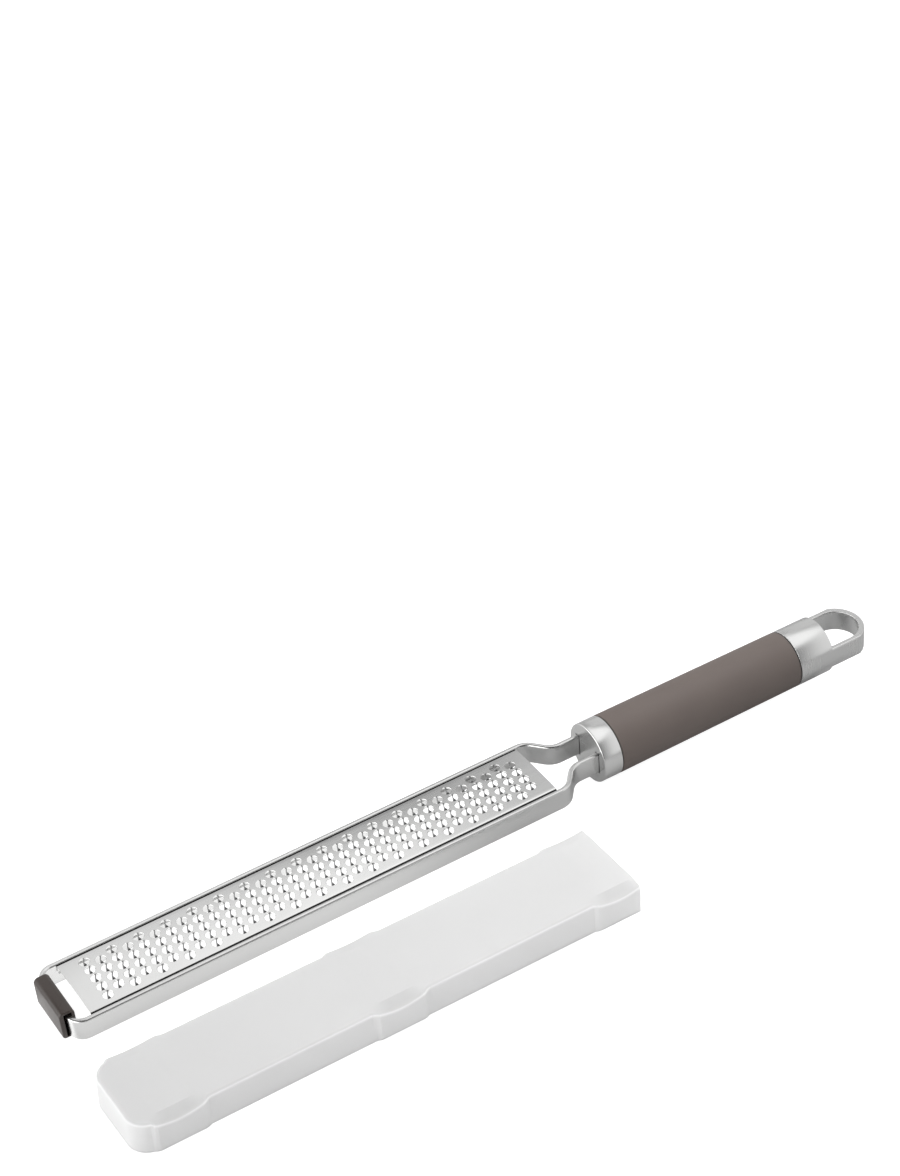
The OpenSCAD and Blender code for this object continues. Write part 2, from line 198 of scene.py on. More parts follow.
COLUMNS = 1 + math.floor((PLATE_LEN - HOLE_START - HOLE_END) / COLUMN_PITCH)
GUARD_LEN = FOOT_W / 2 + PLATE_X + PLATE_LEN + GUARD_WALL + SLIP - GUARD_SHORT
GUARD_W = FRAME_W + 2 * (GUARD_WALL + GUARD_FIT)
GUARD_H = BAR_H + FOOT_WALL + FOOT_TOP - GUARD_UP + GUARD_ROOM + GUARD_WALL

REST = Matrix.Rotation(-TILT, 4, "Y") @ Matrix.Translation((0, 0, FOOT_HALF))
GUARD_PLACE = Matrix.Translation((
    PLATE_X + PLATE_LEN - GUARD_BEHIND - GUARD_LEN / 2,
    -FRAME_W / 2 - GUARD_APART - GUARD_W / 2, 0,
)) @ Matrix.Rotation(math.radians(GUARD_TURN), 4, "Z")


def build(name, bm, place, material, body, replaced=(), sharp=35, on_table=False):
    """Turns a bmesh drawn in millimetres into a piece that rides on a body."""
    bmesh.ops.remove_doubles(bm, verts=bm.verts, dist=0.0005)
    bmesh.ops.recalc_face_normals(bm, faces=bm.faces)
    bm.transform(Matrix.Scale(MM, 4) @ place)
    if on_table:
        for vert in bm.verts:
            vert.co.z = max(vert.co.z, 0.0)
    mesh = bpy.data.meshes.new(name)
    bm.to_mesh(mesh)
    bm.free()
    for face in mesh.polygons:
        face.use_smooth = True
    mesh.set_sharp_from_angle(angle=math.radians(sharp))
    piece = bpy.data.objects.new(name, mesh)
    bpy.context.scene.collection.objects.link(piece)
    mesh.materials.append(material)
    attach(piece, body)
    if replaced:
        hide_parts(*replaced)
    return piece


def apply_modifiers(obj):
    """Replaces the object's mesh by what its modifiers make of it."""
    graph = bpy.context.evaluated_depsgraph_get()
    mesh = bpy.data.meshes.new_from_object(obj.evaluated_get(graph))
    obj.modifiers.clear()
    obj.data = mesh


def carve(bm, cutter):
    """Takes the cutter's volume away from a bmesh, both in millimetres."""
    objects = []
    for part in (bm, cutter):
        mesh = bpy.data.meshes.new("carve")
        bmesh.ops.recalc_face_normals(part, faces=part.faces)
        part.to_mesh(mesh)
        part.free()
        obj = bpy.data.objects.new("carve", mesh)
        bpy.context.scene.collection.objects.link(obj)
        objects.append(obj)
    cut = objects[0].modifiers.new("carve", "BOOLEAN")
    cut.object = objects[1]
    cut.operation = "DIFFERENCE"
    cut.solver = "EXACT"
    apply_modifiers(objects[0])
    result = bmesh.new()
    result.from_mesh(objects[0].data)
    for obj in objects:
        bpy.data.objects.remove(obj)
    return result


def share_past(value, start, run):
    """How far a value has come through a stretch, between 0 and 1."""
    return min(1.0, max(0.0, (value - start) / run))


def arc(centre, radius, start, end, steps):
    """Points on an arc, angles in degrees."""
    angles = [math.radians(start + (end - start) * i / steps) for i in range(steps + 1)]
    return [(centre[0] + radius * math.cos(a), centre[1] + radius * math.sin(a)) for a in angles]


def rounded_box(width, height, radius, steps=4):
    """Closed outline of a rounded rectangle round the origin."""
    w = width / 2 - radius
    h = height / 2 - radius
    points = []
    for centre, start in (((w, h), 0), ((-w, h), 90), ((-w, -h), 180), ((w, -h), 270)):
        points += arc(centre, radius, start, start + 90, steps)
    return points


def skin_rings(bm, rings, closed_path=False, caps=True, face_material=None):
    """Faces between successive rings of points. finish(ring, stretch) gives a face's material."""
    made = [[bm.verts.new(p) for p in ring] for ring in rings]
    pairs = list(zip(made, made[1:]))
    if closed_path:
        pairs.append((made[-1], made[0]))
    count = len(made[0])
    for k, (a, b) in enumerate(pairs):
        for i in range(count):
            j = (i + 1) % count
            face = bm.faces.new((a[i], a[j], b[j], b[i]))
            if face_material:
                face.material_index = face_material(k, i)
    if caps and not closed_path:
        bm.faces.new(made[0])
        bm.faces.new(reversed(made[-1]))


def lathe(bm, profile, steps=128):
    """Turns a closed profile of (x, radius) points about the X axis."""
    rings = []
    for i in range(steps):
        a = 2 * math.pi * i / steps
        rings.append([(x, r * math.sin(a), r * math.cos(a)) for x, r in profile])
    skin_rings(bm, rings, closed_path=True)


def lathe_open(bm, profile, steps=128):
    """Turns a profile that starts and ends on the X axis into a closed body."""
    start = bm.verts.new((profile[0][0], 0, 0))
    end = bm.verts.new((profile[-1][0], 0, 0))
    rings = []
    for x, r in profile[1:-1]:
        ring = []
        for i in range(steps):
            a = 2 * math.pi * i / steps
            ring.append(bm.verts.new((x, r * math.sin(a), r * math.cos(a))))
        rings.append(ring)
    for i in range(steps):
        j = (i + 1) % steps
        bm.faces.new((start, rings[0][i], rings[0][j]))
        bm.faces.new((end, rings[-1][j], rings[-1][i]))
        for a, b in zip(rings, rings[1:]):
            bm.faces.new((a[i], b[i], b[j], a[j]))


def box_mesh(bm, low, high):
    """An upright box between two corners."""
    size = [h - l for l, h in zip(low, high)]
    middle = [(l + h) / 2 for l, h in zip(low, high)]
    place = Matrix.Translation(middle) @ Matrix.Diagonal((*size, 1))
    return bmesh.ops.create_cube(bm, size=1, matrix=place)["verts"]


# Materials

def new_material(name):
    material = bpy.data.materials.new(name)
    material.use_nodes = True
    shader = material.node_tree.nodes["Principled BSDF"]
    return material, material.node_tree, shader


def node(tree, kind, **settings):
    made = tree.nodes.new(kind)
    for key, value in settings.items():
        if key in made.inputs:
            made.inputs[key].default_value = value
        else:
            setattr(made, key, value)
    return made


def feed(tree, socket, value):
    """Sets a socket to a number or links an output to it."""
    if isinstance(value, (int, float)):
        socket.default_value = value
    else:
        tree.links.new(value, socket)


def maths(tree, operation, *values):
    made = node(tree, "ShaderNodeMath", operation=operation)
    for socket, value in zip(made.inputs, values):
        feed(tree, socket, value)
    return made.outputs["Value"]


def blend(tree, share, first, second):
    """first where share is 0, second where it is 1. Each is a number or an output."""
    made = tree.nodes.new("ShaderNodeMix")
    tree.links.new(share, made.inputs[0])
    feed(tree, made.inputs[2], first)
    feed(tree, made.inputs[3], second)
    return made.outputs[0]


def multiply_colours(tree, first, second):
    made = node(tree, "ShaderNodeMix", data_type="RGBA", blend_type="MULTIPLY")
    made.inputs[0].default_value = 1.0
    tree.links.new(first, made.inputs[6])
    tree.links.new(second, made.inputs[7])
    return made.outputs[2]


def soft_step(tree, value, span):
    """0 below the span, 1 above it, with a soft passage between."""
    made = node(tree, "ShaderNodeMapRange", interpolation_type="SMOOTHSTEP")
    made.inputs["From Min"].default_value = span[0]
    made.inputs["From Max"].default_value = span[1]
    tree.links.new(value, made.inputs["Value"])
    return made.outputs["Result"]


def mapped(tree, scale):
    """Object coordinates stretched by scale, for grain with a direction."""
    coords = tree.nodes.new("ShaderNodeTexCoord")
    mapping = tree.nodes.new("ShaderNodeMapping")
    mapping.inputs["Scale"].default_value = scale
    tree.links.new(coords.outputs["Object"], mapping.inputs["Vector"])
    return mapping.outputs["Vector"]


def noise(tree, vector, scale, detail=3.0, roughness=0.5):
    made = node(tree, "ShaderNodeTexNoise", Scale=scale, Detail=detail, Roughness=roughness)
    tree.links.new(vector, made.inputs["Vector"])
    return made.outputs["Fac"]


def ramp(tree, value, stops):
    """Colour or grey as a function of a value between 0 and 1."""
    made = tree.nodes.new("ShaderNodeValToRGB")
    for i, (place, colour) in enumerate(stops):
        element = made.color_ramp.elements[i] if i < 2 else made.color_ramp.elements.new(place)
        element.position = place
        element.color = colour if isinstance(colour, tuple) else (colour, colour, colour, 1)
    tree.links.new(value, made.inputs["Fac"])
    return made.outputs["Color"]


def spread(tree, value, low, high):
    """Spreads a value round 0.5 over a range."""
    made = node(tree, "ShaderNodeMapRange")
    made.inputs["From Min"].default_value = 0.3
    made.inputs["From Max"].default_value = 0.7
    made.inputs["To Min"].default_value = low
    made.inputs["To Max"].default_value = high
    tree.links.new(value, made.inputs["Value"])
    return made.outputs["Result"]


def bump(tree, shader, height, strength, distance):
    made = node(tree, "ShaderNodeBump", Strength=strength, Distance=distance)
    tree.links.new(height, made.inputs["Height"])
    tree.links.new(made.outputs["Normal"], shader.inputs["Normal"])


def steel(name, colour, grain, rough_low, rough_high, scratch=0.05):
    """Brushed steel whose grain is drawn out along the small components of grain."""
    material, tree, shader = new_material(name)
    shader.inputs["Metallic"].default_value = 1.0
    lines = noise(tree, mapped(tree, grain), 1.0, detail=4.0, roughness=0.6)
    blotches = noise(tree, mapped(tree, (1, 1, 1)), 35.0, detail=2.0)
    dark = tuple(c * 0.97 for c in colour) + (1,)
    bright = tuple(colour) + (1,)
    tree.links.new(ramp(tree, lines, [(0.3, dark), (0.7, bright)]), shader.inputs["Base Color"])
    brushed = spread(tree, lines, rough_low, rough_high)
    rough = maths(tree, "ADD", brushed, spread(tree, blotches, -0.02, 0.02))
    tree.links.new(rough, shader.inputs["Roughness"])
    bump(tree, shader, lines, scratch, 0.00005)
    return material


def rubber(name, low, high, roughness, grain_scale, grain_depth):
    """Soft matt rubber with a fine moulded grain and a faint mottle."""
    material, tree, shader = new_material(name)
    mottle = noise(tree, mapped(tree, (1, 1, 1)), 60.0, detail=3.0)
    grain = noise(tree, mapped(tree, (1, 1, 1)), grain_scale, detail=2.0)
    tree.links.new(ramp(tree, mottle, [(0.3, low), (0.7, high)]), shader.inputs["Base Color"])
    tree.links.new(spread(tree, mottle, roughness - 0.04, roughness + 0.04), shader.inputs["Roughness"])
    bump(tree, shader, grain, grain_depth, 0.0001)
    return material


def plastic_core():
    material, tree, shader = new_material("core_plastic")
    mottle = noise(tree, mapped(tree, (1, 1, 1)), 90.0)
    tree.links.new(ramp(tree, mottle, [(0.3, 0.04), (0.7, 0.06)]), shader.inputs["Base Color"])
    shader.inputs["Roughness"].default_value = 0.5
    return material


def milky_plastic_painted_shade():
    """Thin milky plastic that light wanders through, with painted light and shade: paler walls and rounded
    edges, darker scoop slopes and flat top.
    """
    material, tree, shader = new_material("guard_plastic")
    shape = tree.nodes.new("ShaderNodeNewGeometry")
    facing_for_painted_shade = tree.nodes.new("ShaderNodeSeparateXYZ")
    tree.links.new(shape.outputs["Normal"], facing_for_painted_shade.inputs["Vector"])
    # Painted light and shade by which way the surface points: walls and rounded edges paler, scoop slopes
    # and flat top darker.
    levels = [(0.0, 0.90), (0.25, 0.90), (0.55, 0.94), (0.78, 0.68), (0.92, 0.61), (1.0, 0.655)]
    body = ramp(tree, facing_for_painted_shade.outputs["Z"], levels)
    cloud = noise(tree, mapped(tree, (1, 1, 1)), 18.0, detail=3.0)
    mottled_painted_shade = multiply_colours(tree, body, ramp(tree, cloud, [(0.3, 0.96), (0.7, 1.0)]))
    tree.links.new(mottled_painted_shade, shader.inputs["Base Color"])
    tree.links.new(spread(tree, cloud, 0.42, 0.50), shader.inputs["Roughness"])
    shader.inputs["IOR"].default_value = 1.45
    shader.inputs["Specular IOR Level"].default_value = 0.35
    shader.inputs["Subsurface Weight"].default_value = 0.8
    shader.inputs["Subsurface Radius"].default_value = (1.0, 1.0, 1.0)
    shader.inputs["Subsurface Scale"].default_value = 0.003
    fine = noise(tree, mapped(tree, (1, 1, 1)), 900.0, detail=2.0)
    bump(tree, shader, fine, 0.04, 0.00005)
    return material


LENGTHWISE = (12, 2500, 2500)
ROUND = (2500, 40, 40)
BAR_STEEL = steel("bar_steel", (0.68, 0.68, 0.675), LENGTHWISE, 0.20, 0.26, scratch=0.02)
PLATE_STEEL = steel("plate_steel", (0.70, 0.70, 0.695), LENGTHWISE, 0.17, 0.21, scratch=0.01)
# Near-black steel: painted shade on the steep outer sides of the plate's folds, and on the rough sheared
# sides and undersides of the cutting arches.
NEAR_BLACK_PAINTED_SHADE_STEEL = steel("near_black_painted_shade_steel", (0.05, 0.05, 0.05), (1500, 1500, 600), 0.45, 0.6)
# Darker steel for the near part of each cutting arch's top: painted shade.
ARCH_TOP_PAINTED_SHADE_STEEL = steel("arch_top_painted_shade_steel", (0.24, 0.24, 0.24), (1500, 1500, 600), 0.25, 0.35)
FERRULE_STEEL = steel("ferrule_steel", (0.70, 0.70, 0.695), ROUND, 0.20, 0.26, scratch=0.02)
CAP_STEEL = steel("cap_steel", (0.70, 0.70, 0.695), ROUND, 0.24, 0.27, scratch=0.006)
FASTENER_STEEL = steel("fastener_steel", (0.6, 0.6, 0.6), ROUND, 0.3, 0.4)
GRIP_RUBBER = rubber("grip_rubber", (0.112, 0.091, 0.082, 1), (0.122, 0.100, 0.090, 1), 0.55, 4500.0, 0.12)
FOOT_RUBBER = rubber("foot_rubber", (0.038, 0.029, 0.025, 1), (0.046, 0.035, 0.030, 1), 0.42, 4500.0, 0.15)
SEAL_RUBBER = rubber("seal_rubber", (0.02, 0.02, 0.02, 1), (0.03, 0.03, 0.03, 1), 0.6, 4500.0, 0.1)
CORE_PLASTIC = plastic_core()
GUARD_PLASTIC_PAINTED_SHADE = milky_plastic_painted_shade()


# Frame bar: one rounded strip swept round the tip and back into the handle

def bar_half_path():
    """Middle of the strip on the far side, from the tip's middle to the end in the handle."""
    corner_y = FRAME_W / 2 - TIP_R
    middle_r = TIP_R - BAR_T / 2
    points = [(TIP_X + BAR_T / 2, 0.0)]
    points += arc((TIP_X + TIP_R, corner_y), middle_r, 180, 90, 18)
    points += arc((BEND_X, SIDE_Y - BEND_R), BEND_R, 90, 90 - BEND_ANGLE, 12)
    points += arc((NECK_X, ARM_Y + BEND_R), BEND_R, 270 - BEND_ANGLE, 270, 12)
    points.append((FERRULE_X + TANG_LEN, ARM_Y))
    return points


def sweep_strip(bm, path, outline):
    """Sweeps an outline of (across, up) points along a path seen from above."""
    rings = []
    for i, point in enumerate(path):
        before = Vector(path[max(i - 1, 0)])
        after = Vector(path[min(i + 1, len(path) - 1)])
        ahead = (after - before).normalized()
        across = Vector((-ahead.y, ahead.x))
        if 0 < i < len(path) - 1:
            into = (Vector(point) - before).normalized()
            across /= max(0.5, into.dot(ahead))
        rings.append([(point[0] + a * across.x, point[1] + a * across.y, z) for a, z in outline])
    skin_rings(bm, rings)


def make_frame_bar():
    far = bar_half_path()
    near = [(x, -y) for x, y in reversed(far[1:])]
    bm = bmesh.new()
    sweep_strip(bm, near + far, rounded_box(BAR_T, BAR_H, BAR_EDGE_R))
    return build("frame_bar_strip", bm, REST, BAR_STEEL, "zester", ["frame_bar"])


# Grater plate: folded sheet with round holes, each bridged by a raised S-shaped arch

def crown_drop(y):
    """How far the faintly crowned sheet lies below its middle line."""
    return CROWN * (y / PLATE_ROOM) ** 2


def sheet_outline():
    """Closed cross section of the folded and curled sheet, as (y, z) points below its top face."""
    edge = PLATE_HALF - FOLD_R
    fold = (edge, -FOLD_R)
    curl = (PLATE_HALF - CURL_R, CURL_R - FLANGE_H)
    outer = arc(curl, CURL_R, -90, 0, 8) + arc(fold, FOLD_R, 0, 90, 6)
    inner = arc(fold, FOLD_R - SHEET_T, 90, 0, 4) + arc(curl, CURL_R - SHEET_T, 0, -90, 8)
    across = [edge - 2 * edge * i / PLATE_STRIPS for i in range(1, PLATE_STRIPS)]
    top = [(y, 0) for y in across]
    under = [(-y, -SHEET_T) for y in across]
    left_outer = [(-y, z) for y, z in reversed(outer)]
    left_inner = [(-y, z) for y, z in reversed(inner)]
    loop = outer + top + left_outer + left_inner + under + inner
    return [(y, z - crown_drop(y)) for y, z in loop]


def painted_shade_fold_sides(outline):
    """The stretches of the outline on the steep outer side of each fold, where the groove's shade is painted
    on.
    """
    steep = PLATE_HALF - FOLD_R * (1 - math.cos(math.radians(FOLD_PAINTED_SHADE_FROM)))
    deep = -2 * FOLD_R
    return [i for i, (a, b) in enumerate(zip(outline, outline[1:]))
            if min(abs(a[0]), abs(b[0])) > steep and min(a[1], b[1]) > deep]


def hole_places():
    for column in range(COLUMNS):
        rows = (-2, -1, 0, 1, 2) if column % 2 == 0 else (-1.5, -0.5, 0.5, 1.5)
        for row in rows:
            yield PLATE_X + HOLE_START + column * COLUMN_PITCH, row * ROW_PITCH


def hole_cutter():
    """A drill for every hole, flared at the top so that the rim is softened."""
    bm = bmesh.new()
    bore = HOLE_D / 2
    soft = HOLE_SOFT
    angles = [2 * math.pi * i / HOLE_SIDES for i in range(HOLE_SIDES)]
    for x, y in hole_places():
        top = PLATE_TOP - crown_drop(y)
        levels = [(top - 2 * SHEET_T, bore), (top - soft, bore),
                  (top, bore + soft), (top + 2 * soft, bore + 3 * soft)]
        rings = [[(x + r * math.cos(a), y + r * math.sin(a), z) for a in angles] for z, r in levels]
        skin_rings(bm, rings)
    return bm


def add_tooth(bm, x, y):
    """One thin S-shaped arch out of the rim of a hole. Until near its far root its sides and underside carry
    painted shade in near-black steel and its top a painted darker tone; its far end is plain plate steel.
    """
    # Stretches 0, 4 and 5 of the section are the arch's sides and underside, which carry painted shade.
    sides = (0, 4, 5)
    reach = HOLE_D / 2 + TOOTH_PAST
    soft = TOOTH_SOFT
    rings = []
    for i in range(TOOTH_STEPS + 1):
        u = -1 + 2 * i / TOOTH_STEPS
        hook = TOOTH_HOOK * share_past(u, TOOTH_HOOK_FROM, 1 - TOOTH_HOOK_FROM) ** 2
        middle = TOOTH_LEAN * u + TOOTH_SWING * math.sin(math.pi * u) - hook
        root = TOOTH_ROOT * share_past(abs(u), TOOTH_ROOT_FROM, TOOTH_ROOT_RUN)
        half = TOOTH_W / 2 + root * (1.0 if u < 0 else TOOTH_ROOT_FAR)
        sheet = PLATE_TOP - crown_drop(y + reach * u)
        top = sheet + TOOTH_H * (1 - abs(u) ** TOOTH_POWER) - TOOTH_SUNK
        web = share_past(-u, TOOTH_WEB_FROM, TOOTH_WEB_RUN)
        low = (1 - web) * (top - TOOTH_T) + web * (sheet - SHEET_T + TOOTH_SUNK)
        section = [(-half, low), (-half, top - soft), (-half + soft, top),
                   (half - soft, top), (half, top - soft), (half, low)]
        rings.append([(x + middle + a, y + reach * u, z) for a, z in section])
    painted_shade_to = TOOTH_STEPS * (1 + TOOTH_PAINTED_SHADE_TO) / 2

    def face_material(ring, stretch):
        if ring >= painted_shade_to:
            return 0
        return 1 if stretch in sides else 2

    skin_rings(bm, rings, face_material=face_material)


def make_grater_plate():
    bm = bmesh.new()
    outline = sheet_outline()
    rings = [[(x, y, PLATE_TOP + z) for y, z in outline] for x in (PLATE_X, PLATE_X + PLATE_LEN)]
    painted_shade_folds = painted_shade_fold_sides(outline)
    skin_rings(bm, rings, face_material=lambda ring, stretch: 1 if stretch in painted_shade_folds else 0)
    bm = carve(bm, hole_cutter())
    for x, y in hole_places():
        add_tooth(bm, x, y)
    sheet = build("grater_sheet", bm, REST, PLATE_STEEL, "zester", ["grater_plate"])
    # The folds' steep sides and the arches' sides carry painted shade, and the arches' near parts a painted
    # darker tone.
    sheet.data.materials.append(NEAR_BLACK_PAINTED_SHADE_STEEL)
    sheet.data.materials.append(ARCH_TOP_PAINTED_SHADE_STEEL)
    return sheet


# Tip foot

def foot_outline(inset):
    """Closed cross section of the foot along the zester, as (x, z) points drawn in by inset."""
    half = FOOT_W / 2
    low = -FOOT_HALF
    top = BAR_H / 2 + FOOT_TOP
    corners = (
        (half - FOOT_R, low + FOOT_R, FOOT_R, -90),
        (half - FOOT_TOP_R, top - FOOT_TOP_R, FOOT_TOP_R, 0),
        (FOOT_TOP_R - half, top - FOOT_TOP_R, FOOT_TOP_R, 90),
        (FOOT_R - half, low + FOOT_R, FOOT_R, 180),
    )
    points = []
    for x, z, r, start in corners:
        points += arc((x, z), r - inset, start, start + 90, 8)
    return points


def make_tip_foot():
    r = FOOT_END_R
    rim = [(FOOT_LEN / 2 - r + r * math.sin(a), r - r * math.cos(a))
           for a in (math.radians(22.5 * i) for i in range(5))]
    stations = [(-y, inset) for y, inset in reversed(rim)] + rim
    bm = bmesh.new()
    skin_rings(bm, [[(x, y, z) for x, z in foot_outline(inset)] for y, inset in stations])
    slot = bmesh.new()
    box_mesh(slot, (TIP_X - FOOT_SLACK, -FRAME_W / 2, -BAR_H / 2 - BAR_SLACK),
             (TIP_X + BAR_T + SLIP, FRAME_W / 2, BAR_H / 2 + FOOT_GAP))
    bm = carve(bm, slot)
    return build("tip_foot_rubber", bm, REST, FOOT_RUBBER, "zester", ["tip_foot"],
                 sharp=50, on_table=True)


# Handle

def make_front_ferrule():
    r = FERRULE_D / 2
    front = FERRULE_EDGE
    back = FERRULE_BACK_EDGE
    inner = CORE_R + CORE_FIT
    floor = FERRULE_X + FERRULE_FRONT
    profile = [(FERRULE_X, 0.0)]
    profile += arc((FERRULE_X + front, r - front), front, 180, 90, 6)
    profile += arc((GRIP_X - back, r - back), back, 90, 0, 3)
    profile += [(GRIP_X, inner), (floor, inner), (floor, 0.0)]
    bm = bmesh.new()
    lathe_open(bm, profile)
    slots = bmesh.new()
    for side in (-1, 1):
        box_mesh(slots, (FERRULE_X - 1, side * ARM_Y - BAR_T / 2 - SLOT_GAP, -BAR_H / 2 - SLOT_GAP),
                 (floor + 1, side * ARM_Y + BAR_T / 2 + SLOT_GAP, BAR_H / 2 + SLOT_GAP))
    bm = carve(bm, slots)
    return build("ferrule_shell", bm, REST, FERRULE_STEEL, "zester", ["front_ferrule"],
                 on_table=True)


def make_grip():
    front = GRIP_X + SEAL_T
    back = GRIP_END - SEAL_T
    lip = GRIP_LIP
    inner = CORE_R + GRIP_FIT
    profile = [(front, inner)]
    profile += arc((front + lip, FERRULE_D / 2 - lip), lip, 180, 90, 5)
    profile += arc((back - lip, CAP_R - lip), lip, 90, 0, 5)
    profile.append((back, inner))
    bm = bmesh.new()
    lathe(bm, profile)
    return build("grip_skin", bm, REST, GRIP_RUBBER, "zester", ["grip_sleeve"])


def add_cap_body(bm):
    """The round part of the end cap, with its bore and its softened rims."""
    front = CAP_FRONT_EDGE
    back = CAP_BACK_EDGE
    bore = CORE_R + CORE_FIT
    floor = CAP_END - CAP_BACK
    profile = [(floor, 0.0), (floor, bore), (GRIP_END, bore)]
    profile += arc((GRIP_END + front, CAP_R - front), front, 180, 90, 4)
    profile += arc((CAP_END - back, CAP_R - back), back, 90, 0, 6)
    profile.append((CAP_END, 0.0))
    lathe_open(bm, profile)


def loop_stations():
    """Pairs of outer and inner points of the loop seen from above, from one root to the other."""
    steps = 40
    inner_half = CAP_R - LOOP_SIDE
    outer_c = LOOP_END - CAP_R
    inner_c = LOOP_END - LOOP_T - inner_half
    root_y = inner_half - LOOP_ROOT_R
    side = [((x, CAP_R), (x, root_y)) for x in (CAP_END - LOOP_SUNK, CAP_END)]
    fillet = arc((CAP_END + LOOP_ROOT_R, root_y), LOOP_ROOT_R, 180, 90, 6)[1:]
    side += [((x, CAP_R), (x, y)) for x, y in fillet]
    tip = []
    for i in range(steps + 1):
        a = math.pi / 2 - math.pi * i / steps
        tip.append(((outer_c + CAP_R * math.cos(a), CAP_R * math.sin(a)),
                    (inner_c + inner_half * math.cos(a), inner_half * math.sin(a))))
    other = [((o[0], -o[1]), (n[0], -n[1])) for o, n in reversed(side)]
    return side + tip + other


def add_loop(bm):
    """The flat strip of the loop. Its outer face stays on the cap's cylinder."""
    edge = LOOP_EDGE_R
    rings = []
    for outer, inner in loop_stations():
        out = Vector(outer)
        inn = Vector(inner)
        across = (out - inn).normalized()
        ring = []
        levels = arc((0, LOOP_H / 2 - edge), edge, 90, 0, 4)
        heights = [(edge - dx, z) for dx, z in levels]
        heights += [(0, z) for z in (LOOP_H / 4, 0, -LOOP_H / 4)]
        heights += [(edge - dx, -z) for dx, z in reversed(levels)]
        for inset, z in heights:
            p = out - across * inset
            limit = math.sqrt(CAP_R ** 2 - z ** 2) - inset
            p.y = max(-limit, min(limit, p.y))
            ring.append((p.x, p.y, z))
        for inset, z in reversed(heights):
            p = inn + across * inset
            ring.append((p.x, p.y, z))
        rings.append(ring)
    skin_rings(bm, rings)


def make_end_cap():
    bm = bmesh.new()
    add_cap_body(bm)
    add_loop(bm)
    return build("end_cap_shell", bm, REST, CAP_STEEL, "zester", ["end_cap"])


# Blade guard: a thin open-ended cover with clip bulges under sloping scoops

def bulge_amount(x):
    """(scoop depth, bulge) between 0 and 1 at a place along the guard."""
    first = BULGE_FIRST - GUARD_LEN / 2
    last = GUARD_LEN / 2 - BULGE_LAST
    depth = 0.0
    out = 0.0
    for middle in (first, (first + last) / 2 - BULGE_SHIFT, last):
        off = abs(x - middle)
        if off < SCOOP_HALF:
            depth = max(depth, 1 - (off / SCOOP_HALF) ** 2)
        half = BULGE_LEN / 2
        if off < half + BULGE_RAMP:
            t = min(1.0, (half + BULGE_RAMP - off) / BULGE_RAMP)
            out = max(out, t * t * (3 - 2 * t))
    return depth, out


def guard_section(drop, out):
    """Half a cross section from the rim up and in over the top, as (outwards, z) points."""
    side = -GUARD_DRAFT + BULGE_OUT * out
    rim = max(0.0, BULGE_OUT * out - GUARD_DRAFT)
    corner = Vector((side, GUARD_H - drop))
    inner = Vector((-GUARD_DRAFT - SCOOP_IN, GUARD_H))
    foot = Vector((rim, 0.0))
    up = (corner - foot).normalized()
    inwards = (inner - corner).normalized()
    turn = math.acos(max(-1, min(1, up.dot(inwards))))
    tangent = GUARD_EDGE_R * math.tan(turn / 2)
    centre = corner - up * tangent + Vector((-up.y, up.x)) * GUARD_EDGE_R
    start = math.degrees(math.atan2(-up.x, up.y))
    points = [tuple(foot.lerp(corner - up * tangent, t)) for t in (0, 0.25, 0.5, 0.75)]
    points += arc(centre, GUARD_EDGE_R, start, start + math.degrees(turn), 10)
    edge = Vector(points[-1])
    points += [tuple(edge.lerp(inner, t)) for t in (0.35, 0.7, 1.0)]
    return points


def guard_stations():
    """Points round the rim seen from above with their outward directions, starting at the open end."""
    half_w = GUARD_W / 2
    right = GUARD_LEN / 2
    corner_x = -right + GUARD_CORNER_R
    corner_y = -half_w + GUARD_CORNER_R
    xs = [right + (corner_x - right) * i / GUARD_STEPS for i in range(GUARD_STEPS)]
    stations = [((x, -half_w), (0, -1)) for x in xs]
    for i in range(GUARD_CORNER_STEPS + 1):
        a = math.radians(270 - 90 * i / GUARD_CORNER_STEPS)
        n = (math.cos(a), math.sin(a))
        stations.append(((corner_x + GUARD_CORNER_R * n[0], corner_y + GUARD_CORNER_R * n[1]), n))
    return stations + [((x, -y), (nx, -ny)) for (x, y), (nx, ny) in reversed(stations)]


def add_guard_skin(bm):
    """The guard's outer surface: its wall and rounded edge, then strips and one cap across the top."""
    columns = []
    for (x, y), (nx, ny) in guard_stations():
        depth, out = bulge_amount(x) if abs(ny) > 0.99 else (0.0, 0.0)
        drop = depth * (SCOOP_DROP if ny < 0 else SCOOP_DROP_FAR)
        columns.append([bm.verts.new((x + nx * o, y + ny * o, z)) for o, z in guard_section(drop, out)])
    for a, b in zip(columns, columns[1:]):
        for i in range(len(a) - 1):
            bm.faces.new((a[i], b[i], b[i + 1], a[i + 1]))
    inner = [column[-1] for column in columns]
    for i in range(GUARD_STEPS):
        bm.faces.new((inner[i], inner[i + 1], inner[-2 - i], inner[-1 - i]))
    bm.faces.new(inner[GUARD_STEPS:-GUARD_STEPS])


def make_blade_guard():
    bm = bmesh.new()
    add_guard_skin(bm)
    guard = build("guard_shell", bm, GUARD_PLACE, GUARD_PLASTIC_PAINTED_SHADE, "guard", ["blade_guard"],
                  sharp=GUARD_SHARP)
    skin = guard.modifiers.new("wall", "SOLIDIFY")
    skin.thickness = GUARD_WALL * MM
    skin.offset = -1
    skin.use_even_offset = True
    apply_modifiers(guard)
    for vert in guard.data.vertices:
        vert.co.z = max(vert.co.z, 0.0)
    guard.data.set_sharp_from_angle(angle=math.radians(GUARD_SHARP))
    return guard


make_frame_bar()
make_grater_plate()
make_tip_foot()
make_front_ferrule()
make_grip()
make_end_cap()
make_blade_guard()

